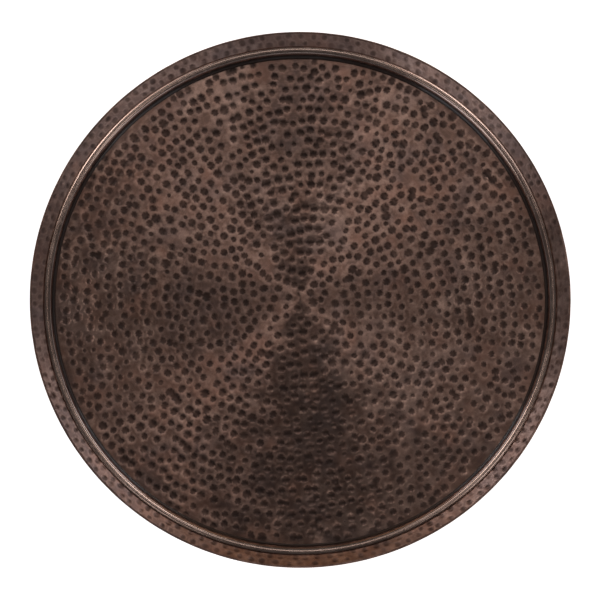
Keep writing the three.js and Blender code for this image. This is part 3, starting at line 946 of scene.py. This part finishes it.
def nylon():
    n = Nodes("nylon")
    co = n.coord()
    cloud = n.noise(co, 90.0, 3.0, 0.5)
    fine = n.noise(co, 2200.0, 2.0, 0.5)
    colour = n.ramp(cloud, [(0.35, (0.60, 0.585, 0.53)), (0.65, (0.68, 0.665, 0.61))])
    rough = n.span(cloud, 0.3, 0.7, 0.38, 0.48)
    n.bsdf.inputs["Subsurface Weight"].default_value = 0.12
    n.bsdf.inputs["Subsurface Scale"].default_value = 0.0006
    return n.set(Base_Color=colour, Roughness=rough, Normal=n.bump(fine, 0.12, 0.00008))


def rubber():
    n = Nodes("rubber")
    co = n.coord()
    cloud = n.noise(co, 240.0, 4.0, 0.6)
    fine = n.noise(co, 2600.0, 3.0, 0.6)
    dust = n.noise(co, 900.0, 3.0, 0.6)
    colour = n.ramp(cloud, [(0.35, (0.014, 0.014, 0.015)), (0.65, (0.030, 0.030, 0.031))])
    colour = n.mix(n.span(dust, 0.60, 0.80, 0.0, 0.35), colour, (0.10, 0.098, 0.095))
    rough = n.span(cloud, 0.3, 0.7, 0.70, 0.88)
    return n.set(Base_Color=colour, Roughness=rough, Normal=n.bump(fine, 0.4, 0.00012))


WOOD = stained_wood()
ZINC = zinc_steel()
SCREW = screw_steel()
BALL = ball_steel()
NYLON = nylon()
RUBBER = rubber()


def place(ob, node, body):
    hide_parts(node)
    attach(ob, body)
    return ob


# ------------------------------------------------------------------ wooden support board and base

def turned_board():
    """Turned disc under the pan, with a recess for the rivet's upper flange."""
    ceiling = Z_UPPER_TOP + FIT + RIVET_FLANGE_T + FIT
    recess = RIVET_FLANGE_R + 1
    prof = [(0, ceiling), (recess - 0.4, ceiling)] + arc(recess - 0.25, ceiling - 0.25, 0.25, 90, 0, 2)
    prof += [(recess, Z_BOARD + 0.45), (recess + 0.12, Z_BOARD + 0.12), (recess + 0.45, Z_BOARD)]
    prof += [(60, Z_BOARD), (150, Z_BOARD)]
    prof += arc(BOARD_R - BOARD_EDGE, Z_BOARD + BOARD_EDGE, BOARD_EDGE, -90, 0, 9)
    prof += arc(BOARD_R - 0.8, Z_BOARD_TOP - 0.8, 0.8, 0, 90, 4)
    prof += [(120, Z_BOARD_TOP), (0, Z_BOARD_TOP)]
    v, f = revolve(prof, 320, closed=False)
    ob = new_piece("support_board_turned", v, f, [WOOD])
    outward(ob)
    cut(ob, [merged([rod(*on_circle(UPPER_SCREW_CIRCLE, d), WOOD_SHANK + FIT, Z_BOARD - 1, Z_UPPER + WOOD_LENGTH + FIT, 24)
                     for d in (45, 135, 225, 315)])])
    finish_shading(ob, True, 35)
    return ob


place(turned_board(), "support_board", "tray")


def turned_base():
    floor_z = Z_LOWER - RIVET_PLAY - RIVET_FLANGE_T - FIT
    top = Z_BASE + BASE_T
    prof = [(0, Z_BASE), (50, Z_BASE), (100, Z_BASE)]
    prof += arc(BASE_R - 0.8, Z_BASE + 0.8, 0.8, -90, 0, 4)
    prof += arc(BASE_R - BASE_EDGE, top - BASE_EDGE, BASE_EDGE, 0, 90, 9)
    prof += [(90, top), (BASE_RECESS_R + 0.45, top), (BASE_RECESS_R + 0.12, top - 0.12), (BASE_RECESS_R, top - 0.45)]
    prof += arc(BASE_RECESS_R - 0.25, floor_z + 0.25, 0.25, 0, -90, 2)
    prof += [(0, floor_z)]
    v, f = revolve(prof, 288, closed=False)
    ob = new_piece("base_turned", v, f, [WOOD])
    outward(ob)
    ax, ay = on_circle(UPPER_SCREW_CIRCLE, 0)
    hole = ACCESS_HOLE_R + 0.5
    well = FOOT_WELL_DEPTH - PAN_HEAD_H - FIT
    cut(ob, [
        rod(ax, ay, hole, Z_BASE - 1, top + 1, 64),
        frustum(ax, ay, hole + 0.7, hole - 0.3, Z_BASE - 0.2, Z_BASE + 0.8, 64),
        frustum(ax, ay, hole - 0.3, hole + 0.7, top - 0.8, top + 0.2, 64),
        merged([rod(*on_circle(LOWER_SCREW_CIRCLE, d), WOOD_SHANK + FIT, Z_LOWER_TOP - WOOD_LENGTH - FIT, Z_LOWER, 24)
                for d in (0, 90, 180, 270)]),
        merged([rod(*on_circle(FOOT_CIRCLE, 30 + 60 * i), PAN_SHANK + FIT, Z_BASE - 1,
                    well + PAN_HEAD_H + PAN_LENGTH + FIT, 24) for i in range(FOOT_COUNT)]),
    ])
    finish_shading(ob, True, 35)
    return ob


place(turned_base(), "base_disc", "base")


# ------------------------------------------------------------------ swivel plates, rivet, ball cage

def plate_solid(name, screw_degrees, circle, access):
    """Pressed plate with a ball groove in its upper face, its back at z = 0."""
    rise = GROOVE_R - GROOVE_DEPTH
    half = math.sqrt(GROOVE_R * GROOVE_R - rise * rise)
    opened = math.degrees(math.atan2(-rise, half))
    e = 0.3
    prof = arc(PLATE_BORE + e, e, e, 180, 270, 3) + arc(PLATE_R - e, e, e, -90, 0, 3)
    prof += arc(PLATE_R - e, PLATE_T - e, e, 0, 90, 3)
    prof += [(BALL_CIRCLE + half + 0.25, PLATE_T), (BALL_CIRCLE + half + 0.05, PLATE_T - 0.06)]
    prof += arc(BALL_CIRCLE, PLATE_T + rise, GROOVE_R, opened - 3, -180 - opened + 3, 14)
    prof += [(BALL_CIRCLE - half - 0.05, PLATE_T - 0.06), (BALL_CIRCLE - half - 0.25, PLATE_T)]
    prof += arc(PLATE_BORE + e, PLATE_T - e, e, 90, 180, 3)
    v, f = revolve(prof, 192)
    ob = new_piece(name, v, f, [ZINC])
    outward(ob)
    tools = []
    spots = [on_circle(circle, d) for d in screw_degrees]
    tools.append(merged([rod(x, y, WOOD_SHANK + FIT, -1, PLATE_T + 1, 32) for x, y in spots]))
    tools.append(merged([frustum(x, y, WOOD_SHANK + FIT, WOOD_HEAD + 2 * FIT + 0.05, PLATE_T - WOOD_HEAD_H - FIT, PLATE_T + 0.1, 40)
                         for x, y in spots]))
    if access:
        ax, ay = on_circle(UPPER_SCREW_CIRCLE, 0)
        tools.append(rod(ax, ay, ACCESS_HOLE_R, -1, PLATE_T + 1, 64))
    cut(ob, tools)
    return ob


lower_plate = plate_solid("lower_plate_pressed", (0, 90, 180, 270), LOWER_SCREW_CIRCLE, True)
lower_plate.data.transform(Matrix.Translation((0, 0, Z_LOWER * MM)))
finish_shading(lower_plate, True, 30)
place(lower_plate, "lower_race", "base")

upper_plate = plate_solid("upper_plate_pressed", (45, 135, 225, 315), UPPER_SCREW_CIRCLE, False)
upper_plate.data.transform(Matrix.Translation((0, 0, Z_UPPER_TOP * MM)) @ Matrix.Rotation(math.pi, 4, "X"))
finish_shading(upper_plate, True, 30)
place(upper_plate, "upper_race", "tray")


def rivet():
    z0 = Z_LOWER - RIVET_PLAY - RIVET_FLANGE_T
    z1 = Z_LOWER - RIVET_PLAY
    z2 = Z_UPPER_TOP + FIT
    z3 = z2 + RIVET_FLANGE_T
    h = RIVET_FLANGE_T / 2
    prof = arc(RIVET_IN + 0.9, z0 + 0.9, 0.9, 180, 270, 6)
    prof += arc(RIVET_FLANGE_R - h, z0 + h, h, -90, 90, 8)
    prof += arc(RIVET_OUT + 0.25, z1 + 0.25, 0.25, -90, -180, 3)
    prof += arc(RIVET_OUT + 0.25, z2 - 0.25, 0.25, 180, 90, 3)
    prof += arc(RIVET_FLANGE_R - h, z2 + h, h, -90, 90, 8)
    prof += arc(RIVET_IN + 0.9, z3 - 0.9, 0.9, 90, 180, 6)
    v, f = revolve(prof, 96)
    ob = new_piece("rivet_rolled", v, f, [ZINC], sharp=50)
    outward(ob)
    return ob


place(rivet(), "hollow_rivet", "tray")


def cage():
    e = 0.28
    z0, z1 = Z_BALL - CAGE_T / 2, Z_BALL + CAGE_T / 2
    prof = arc(CAGE_IN + e, z0 + e, e, 180, 270, 3) + arc(CAGE_OUT - e, z0 + e, e, -90, 0, 3)
    prof += arc(CAGE_OUT - e, z1 - e, e, 0, 90, 3) + arc(CAGE_IN + e, z1 - e, e, 90, 180, 3)
    v, f = revolve(prof, 180)
    ob = new_piece("cage_moulded", v, f, [NYLON])
    outward(ob)
    spots = [on_circle(BALL_CIRCLE, 36 * i) for i in range(BALL_COUNT)]
    r = BALL_R + 0.4
    cut(ob, [merged([rod(x, y, r, z0 - 1, z1 + 1, 40) for x, y in spots]),
             merged([frustum(x, y, r - 0.2, r + 0.3, z1 - 0.3, z1 + 0.2, 40) for x, y in spots]),
             merged([frustum(x, y, r + 0.3, r - 0.2, z0 - 0.2, z0 + 0.3, 40) for x, y in spots]),
             merged([rod(*on_circle(BALL_CIRCLE, 36 * i + 18), 1.3, z0 - 1, z1 + 1, 20) for i in range(BALL_COUNT)])])
    finish_shading(ob, True, 35)
    return ob


place(cage(), "ball_retainer", "ball_cage")

for i in range(BALL_COUNT):
    bm = bmesh.new()
    bmesh.ops.create_icosphere(bm, subdivisions=4, radius=BALL_R * MM)
    x, y = on_circle(BALL_CIRCLE, 36 * i)
    turn = Matrix.Rotation(0.7 * i, 4, "X") @ Matrix.Rotation(1.3 * i, 4, "Z")
    bmesh.ops.transform(bm, matrix=Matrix.Translation((x * MM, y * MM, Z_BALL * MM)) @ turn, verts=bm.verts)
    me = bpy.data.meshes.new("ball_ground_%d" % (i + 1))
    bm.to_mesh(me)
    bm.free()
    me.materials.append(BALL)
    ob = bpy.data.objects.new("ball_ground_%d" % (i + 1), me)
    bpy.context.scene.collection.objects.link(ob)
    finish_shading(ob)
    place(ob, "ball_%d" % (i + 1), "ball_cage")


# ------------------------------------------------------------------ feet

foot_profile = (
    arc(FOOT_WELL_R + 0.3, 0.3, 0.3, 180, 270, 3)
    + [(5.35, 0.0), (5.45, 0.28), (5.85, 0.28), (5.95, 0.0), (6.55, 0.0), (6.65, 0.28), (7.05, 0.28), (7.15, 0.0)]
    + [(7.75, 0.0), (8.15, 0.10), (8.42, 0.36), (8.52, 0.70), (8.74, 2.1), (8.94, 3.35)]
    + arc(FOOT_R - 0.45, FOOT_H - 0.45, 0.43, 8, 90, 4)
    + [(FOOT_BORE + 0.25, FOOT_H), (FOOT_BORE, FOOT_H - 0.25), (FOOT_BORE, FOOT_WELL_DEPTH + 0.1),
       (FOOT_BORE + 0.1, FOOT_WELL_DEPTH), (FOOT_WELL_R - 0.3, FOOT_WELL_DEPTH)]
    + arc(FOOT_WELL_R - 0.3, FOOT_WELL_DEPTH - 0.3, 0.3, 90, 0, 3)
)
for i in range(FOOT_COUNT):
    x, y = on_circle(FOOT_CIRCLE, 30 + 60 * i)
    v, f = revolve(foot_profile, 56)
    ob = new_piece("foot_moulded_%d" % (i + 1), [(a + x, b + y, c) for a, b, c in v], f, [RUBBER], sharp=55)
    outward(ob)
    place(ob, "foot_%d" % (i + 1), "base")


# ------------------------------------------------------------------ screws

def screw_mesh(head, radius_at, z_thread0, z_thread1, tip, pitch, around=22):
    """Screw as points and faces: the head's profile from its axis outwards and back to the shank, then a
    thread, then the tip. radius_at gives the thread's outer radius at a height."""
    verts, faces, rows = [], [], []
    ang = np.arange(around) * 2 * math.pi / around
    for r, z in head:
        if r < 1e-6:
            rows.append([len(verts)])
            verts.append((0.0, 0.0, z))
        else:
            rows.append(list(range(len(verts), len(verts) + around)))
            verts.extend(zip((r * np.cos(ang)).tolist(), (r * np.sin(ang)).tolist(), [z] * around))
    n = max(8, int(abs(z_thread1 - z_thread0) / pitch * 6))
    for j in range(n + 1):
        z = z_thread0 + (z_thread1 - z_thread0) * j / n
        phase = ((z - z_thread0) / pitch - ang / (2 * math.pi)) % 1.0
        ridge = np.clip(1 - np.abs(phase - 0.5) * 4.2, 0, 1)
        fade = min(1.0, j / 5.0)
        outer = radius_at(z)
        r = outer * (1 - 0.30 * fade * (1 - ridge))
        rows.append(list(range(len(verts), len(verts) + around)))
        verts.extend(zip((r * np.cos(ang)).tolist(), (r * np.sin(ang)).tolist(), [z] * around))
    rows.append([len(verts)])
    verts.append((0.0, 0.0, tip))
    for a, b in zip(rows, rows[1:]):
        for j in range(around):
            k = (j + 1) % around
            if len(a) == 1:
                faces.append((a[0], b[k], b[j]))
            elif len(b) == 1:
                faces.append((a[j], a[k], b[0]))
            else:
                faces.append((a[j], a[k], b[k], b[j]))
    return verts, faces


def cross_tool(z_face, depth, up):
    """Tapered crossed slots, sunk from the face at z_face."""
    s = 1 if up else -1
    parts = []
    for turn in (0, 1):
        pts = []
        for k, (l, w) in ((-0.4, (2.15, 0.52)), (depth, (1.15, 0.34))):
            for a, b in ((-1, -1), (1, -1), (1, 1), (-1, 1)):
                p = (a * l, b * w) if turn == 0 else (b * w, a * l)
                pts.append((p[0], p[1], z_face + s * k))
        parts.append((pts, [(0, 1, 2, 3), (4, 7, 6, 5), (0, 4, 5, 1), (1, 5, 6, 2), (2, 6, 7, 3), (3, 7, 4, 0)]))
    return parts


def wood_radius(z):
    a, b, c = -WOOD_LENGTH, -WOOD_LENGTH + 1.6, -WOOD_LENGTH + 3.2
    if z < b:
        return WOOD_SHANK * 0.55 * max(0.12, (z - a) / (b - a))
    if z < c:
        return WOOD_SHANK * (0.55 + 0.45 * (z - b) / (c - b))
    return WOOD_SHANK


def pan_radius(z):
    a, b, c = PAN_LENGTH, PAN_LENGTH - 1.2, PAN_LENGTH - 3.0
    if z > b:
        return PAN_SHANK * 0.5 * max(0.12, (a - z) / (a - b))
    if z > c:
        return PAN_SHANK * (0.5 + 0.5 * (b - z) / (b - c))
    return PAN_SHANK


def wood_screw(name):
    head = [(0, 0), (2.6, 0), (WOOD_HEAD - 0.22, 0), (WOOD_HEAD - 0.06, -0.06), (WOOD_HEAD - 0.01, -0.2),
            (WOOD_HEAD - 0.12, -0.36), (WOOD_SHANK + 0.3, -WOOD_HEAD_H + 0.05), (WOOD_SHANK, -WOOD_HEAD_H - 0.3)]
    v, f = screw_mesh(head, wood_radius, -WOOD_HEAD_H - 0.55, -WOOD_LENGTH + 0.25, -WOOD_LENGTH, 1.3)
    ob = new_piece(name, v, f, [SCREW])
    outward(ob)
    cut(ob, cross_tool(0.0, 1.05, False))
    finish_shading(ob, True, 38)
    return ob


def pan_screw(name):
    h = PAN_HEAD_H
    head = [(0, -h), (1.6, -h), (PAN_HEAD * 0.68, -h + 0.03), (PAN_HEAD * 0.80, -h + 0.14), (PAN_HEAD * 0.90, -h + 0.38),
            (PAN_HEAD * 0.965, -h + 0.72), (PAN_HEAD * 0.99, -h + 1.1), (PAN_HEAD * 0.99, -0.12), (PAN_HEAD - 0.12, 0.0),
            (PAN_SHANK + 0.1, 0.0), (PAN_SHANK, 0.15)]
    v, f = screw_mesh(head, pan_radius, 0.5, PAN_LENGTH - 0.25, PAN_LENGTH, 1.25)
    ob = new_piece(name, v, f, [SCREW])
    outward(ob)
    cut(ob, cross_tool(-h, 1.05, True))
    finish_shading(ob, True, 38)
    return ob


foot_screw_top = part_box("foot_screw_1")[0][2] * 1000 + PAN_HEAD_H
for i, d in enumerate((0, 90, 180, 270)):
    ob = wood_screw("lower_screw_threaded_%d" % (i + 1))
    x, y = on_circle(LOWER_SCREW_CIRCLE, d)
    ob.data.transform(Matrix.Translation((x * MM, y * MM, Z_LOWER_TOP * MM)) @ Matrix.Rotation(0.35 + 1.1 * i, 4, "Z"))
    place(ob, "lower_screw_%d" % (i + 1), "base")
for i, d in enumerate((45, 135, 225, 315)):
    ob = wood_screw("upper_screw_threaded_%d" % (i + 1))
    x, y = on_circle(UPPER_SCREW_CIRCLE, d)
    ob.data.transform(Matrix.Translation((x * MM, y * MM, Z_UPPER * MM)) @ Matrix.Rotation(math.pi, 4, "X")
                      @ Matrix.Rotation(0.6 + 0.9 * i, 4, "Z"))
    place(ob, "upper_screw_%d" % (i + 1), "tray")
for i in range(FOOT_COUNT):
    ob = pan_screw("foot_screw_threaded_%d" % (i + 1))
    x, y = on_circle(FOOT_CIRCLE, 30 + 60 * i)
    ob.data.transform(Matrix.Translation((x * MM, y * MM, foot_screw_top * MM)) @ Matrix.Rotation(0.2 + 0.8 * i, 4, "Z"))
    place(ob, "foot_screw_%d" % (i + 1), "base")


# ------------------------------------------------------------------ studio

def direction(azimuth, elevation):
    """Unit vector; azimuth is clockwise from the back (+Y), as seen from above."""
    a, e = math.radians(azimuth), math.radians(elevation)
    return Vector((math.sin(a) * math.cos(e), math.cos(a) * math.cos(e), math.sin(e)))


def panel(name, azimuth, elevation, distance, width, height, level, colour=(1, 1, 1)):
    data = bpy.data.lights.new(name, "AREA")
    data.shape = "RECTANGLE"
    data.size, data.size_y = width, height
    data.energy = level * math.pi * width * height
    data.color = colour
    ob = bpy.data.objects.new(name, data)
    bpy.context.scene.collection.objects.link(ob)
    d = direction(azimuth, elevation)
    ob.location = d * distance + Vector((0, 0, 0.03))
    ob.rotation_euler = d.to_track_quat("Z", "Y").to_euler()
    ob.visible_camera = False
    return ob


PLAIN = (1.0, 0.99, 0.98)
COOL = (0.90, 1.0, 1.12)
WARM = (1.0, 0.70, 0.42)
REACH = 3.2
SOFT_LIGHTS = [
    # elevation, azimuth, width and height in degrees, level, tint
    (7, 0, 22.5, 10, 0.13, WARM),
    (7, 22.5, 22.5, 10, 0.65, WARM),
    (7, 45, 22.5, 10, 2.41, COOL),
    (7, 67.5, 22.5, 10, 0.50, COOL),
    (7, 90, 22.5, 10, 0.27, COOL),
    (7, 135, 22.5, 10, 0.13, COOL),
    (7, 225, 22.5, 10, 0.61, COOL),
    (7, 270, 22.5, 10, 0.24, COOL),
    (7, 315, 22.5, 10, 2.09, COOL),
    (7, 337.5, 22.5, 10, 0.49, WARM),
    (18, 112.5, 22.5, 12, 0.17, COOL),
    (18, 135, 22.5, 12, 1.12, COOL),
    (18, 157.5, 22.5, 12, 0.17, COOL),
    (18, 180, 22.5, 12, 0.50, COOL),
    (18, 225, 22.5, 12, 1.83, COOL),
    (31, 120, 15, 14, 1.67, PLAIN),
    (31, 240, 15, 14, 2.12, PLAIN),
    (45, 30, 15, 14, 4.00, PLAIN),
    (45, 45, 15, 14, 1.77, PLAIN),
    (45, 315, 15, 14, 5.15, PLAIN),
    (45, 330, 15, 14, 1.58, PLAIN),
    (59, 0, 15, 14, 0.14, PLAIN),
    (59, 120, 15, 14, 2.39, PLAIN),
    (59, 225, 15, 14, 1.67, PLAIN),
    (73, 0, 30, 14, 1.69, PLAIN),
    (73, 120, 30, 14, 0.74, PLAIN),
    (73, 240, 30, 14, 0.17, PLAIN),
]
for el, az, wide, high, level, tint in SOFT_LIGHTS:
    across = 2 * REACH * math.tan(math.radians(wide * math.cos(math.radians(el)) / 2))
    panel("soft_%02d_%03d" % (el, az), az, el, REACH, across, 2 * REACH * math.tan(math.radians(high / 2)), 0.95 * level, tint)

world = bpy.data.worlds.new("studio")
bpy.context.scene.world = world
world.use_nodes = True
wt = world.node_tree
wt.nodes.clear()
w_out = wt.nodes.new("ShaderNodeOutputWorld")
w_mix = wt.nodes.new("ShaderNodeMixShader")
w_path = wt.nodes.new("ShaderNodeLightPath")
w_dim = wt.nodes.new("ShaderNodeBackground")
w_pale = wt.nodes.new("ShaderNodeBackground")
w_dim.inputs[0].default_value = (0.95, 0.97, 1.0, 1)
w_dim.inputs[1].default_value = 0.045
w_pale.inputs[0].default_value = (0.93, 0.93, 0.93, 1)
w_pale.inputs[1].default_value = 1.0
wt.links.new(w_path.outputs["Is Camera Ray"], w_mix.inputs[0])
wt.links.new(w_dim.outputs[0], w_mix.inputs[1])
wt.links.new(w_pale.outputs[0], w_mix.inputs[2])
wt.links.new(w_mix.outputs[0], w_out.inputs[0])

fv, ff = revolve([(0, 0), (6000, 0)], 96, closed=False)
studio_floor = new_piece("studio_floor", [v for v in fv], [f for f in ff], smooth=False)
fm = Nodes("studio_floor")
fm.set(Base_Color=(0.80, 0.80, 0.80), Roughness=0.9)
fm.bsdf.inputs["Specular IOR Level"].default_value = 0.0
fm.bsdf.inputs["Emission Color"].default_value = (1, 1, 1, 1)
fm.bsdf.inputs["Emission Strength"].default_value = 1.05
studio_floor.data.materials.append(fm.mat)
studio_floor.location.z = -0.0002

cam_data = bpy.data.cameras.new("camera")
cam_data.sensor_width = 36.0
cam_data.lens = 145.08
cam_data.shift_x = -0.2 / 600
cam_data.shift_y = -1.8 / 600
cam_data.clip_start = 0.05
cam_data.clip_end = 60
camera = bpy.data.objects.new("camera", cam_data)
bpy.context.scene.collection.objects.link(camera)
aim = Vector((0, 0, Z_FLOOR * MM))
tilt = math.radians(7.8)
camera.location = aim + Vector((0, -math.sin(tilt), math.cos(tilt))) * 2.0574
camera.rotation_euler = (tilt, 0, 0)
bpy.context.scene.camera = camera
bpy.context.scene.view_settings.view_transform = "Standard"
bpy.context.scene.view_settings.look = "None"
